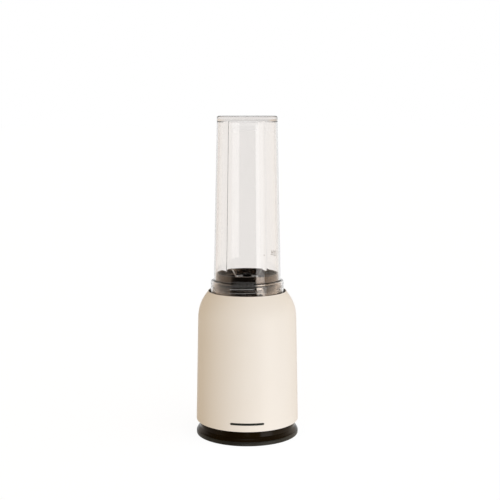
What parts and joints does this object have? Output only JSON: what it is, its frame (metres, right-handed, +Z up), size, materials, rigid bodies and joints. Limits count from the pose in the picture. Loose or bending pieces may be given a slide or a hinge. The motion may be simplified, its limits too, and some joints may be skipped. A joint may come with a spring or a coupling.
{
  "type": "countertop blender",
  "caption": "Slim personal blender: round cream motor base with a dark foot, a screw-in blade holder and a tall clear upturned bottle that lifts off and twists to start.",
  "frame": {"origin": "centre of the rubber foot's underside, on the table", "axes": "+Z up along the axis of the motor and the bottle; the front faces -Y, the cord outlet +Y"},
  "size_m": [0.115, 0.115, 0.3565],
  "materials": {
    "cream_plastic": "fine satin moulded plastic, warm cream",
    "dark_gloss_plastic": "glossy very dark brown moulded plastic",
    "dark_metal": "glossy metallised gunmetal brown",
    "clear_plastic": "clear copolyester, high gloss",
    "black_plastic": "satin black moulded nylon",
    "rubber": "matte dark rubber",
    "silicone": "translucent grey silicone",
    "steel": "bright stainless steel",
    "lamination": "stacked electrical steel",
    "bronze": "sintered bronze",
    "copper": "enamelled copper",
    "carbon": "matte carbon",
    "board": "green solder mask",
    "film_yellow": "yellow film capacitor case"
  },
  "bodies": {
    "base": {"housing": "cream_plastic", "base_plate": "dark_gloss_plastic", "foot_ring": "rubber", "base_screw_1": "steel", "base_screw_2": "steel", "base_screw_3": "steel", "cord_gland": "rubber", "receiver": "black_plastic", "receiver_screw_1": "steel", "receiver_screw_2": "steel", "receiver_screw_3": "steel", "well_seal": "rubber", "motor_carrier": "black_plastic", "carrier_screw_1": "steel", "carrier_screw_2": "steel", "carrier_screw_3": "steel", "motor_bush_1": "rubber", "motor_bush_2": "rubber", "pin_spring": "steel", "micro_switch": "black_plastic", "stator_core": "lamination", "field_coil_front": "copper", "field_coil_rear": "copper", "lower_end_frame": "lamination", "upper_end_frame": "lamination", "lower_bearing": "bronze", "upper_bearing": "bronze", "motor_bolt_1": "steel", "motor_bolt_2": "steel", "motor_nut_1": "steel", "motor_nut_2": "steel", "brush_holder_left": "black_plastic", "brush_holder_right": "black_plastic", "brush_left": "carbon", "brush_right": "carbon", "brush_spring_left": "steel", "brush_spring_right": "steel", "circuit_board": "board", "suppressor_capacitor": "film_yellow", "mains_lead": "rubber", "brush_lead": "rubber"},
    "rotor": {"motor_shaft": "steel", "armature_core": "lamination", "armature_winding": "copper", "commutator": "copper", "cooling_fan": "black_plastic", "drive_coupler": "black_plastic"},
    "interlock": {"interlock_pin": "black_plastic"},
    "lever": {"switch_lever": "steel"},
    "cup_core": {"blade_bearing": "bronze"},
    "blades": {"blade_shaft": "steel", "blade_washer": "steel", "blade_lower": "steel", "blade_upper": "steel", "blade_nut": "steel", "driven_coupler": "black_plastic"},
    "cup": {"blade_holder": "dark_metal", "blade_seal": "silicone"},
    "gasket": {"bottle_gasket": "silicone"},
    "bottle": {"bottle": "clear_plastic"}
  },
  "joints": [
    {"name": "motor_spin", "type": "hinge", "parent": "base", "child": "rotor", "pos_m": [0, 0, 0.08], "axis": [0, 0, 1], "continuous": true},
    {"name": "interlock_press", "type": "slide", "parent": "base", "child": "interlock", "axis": [0, 0, -1], "range_m": [0, 0.00242], "deforming": ["pin_spring"]},
    {"name": "lever_turn", "type": "hinge", "parent": "base", "child": "lever", "pos_m": [-0.0004, 0.038, 0.1114], "axis": [0, 1, 0], "range_deg": [0, 8.8]},
    {"name": "cup_lift", "type": "slide", "parent": "base", "child": "cup_core", "axis": [0, 0, 1], "range_m": [0, 0.06]},
    {"name": "blade_spin", "type": "hinge", "parent": "cup_core", "child": "blades", "pos_m": [0, 0, 0.165], "axis": [0, 0, 1], "continuous": true},
    {"name": "cup_twist", "type": "hinge", "parent": "cup_core", "child": "cup", "pos_m": [0, 0, 0.15], "axis": [0, 0, -1], "range_deg": [0, 24]},
    {"name": "gasket_rise", "type": "slide", "parent": "cup", "child": "gasket", "axis": [0, 0, 1], "range_m": [0, 0.0094]},
    {"name": "bottle_unscrew", "type": "hinge", "parent": "gasket", "child": "bottle", "pos_m": [0, 0, 0.17], "axis": [0, 0, 1], "range_deg": [0, 400]}
  ],
  "couplings": [
    {"joint": "blade_spin", "follows": "motor_spin", "ratio": 1},
    {"joint": "interlock_press", "follows": "cup_twist", "m_per_rad": 0.0057296},
    {"joint": "lever_turn", "follows": "cup_twist", "ratio": 0.3625},
    {"joint": "gasket_rise", "follows": "bottle_unscrew", "m_per_rad": 0.0013369}
  ]
}
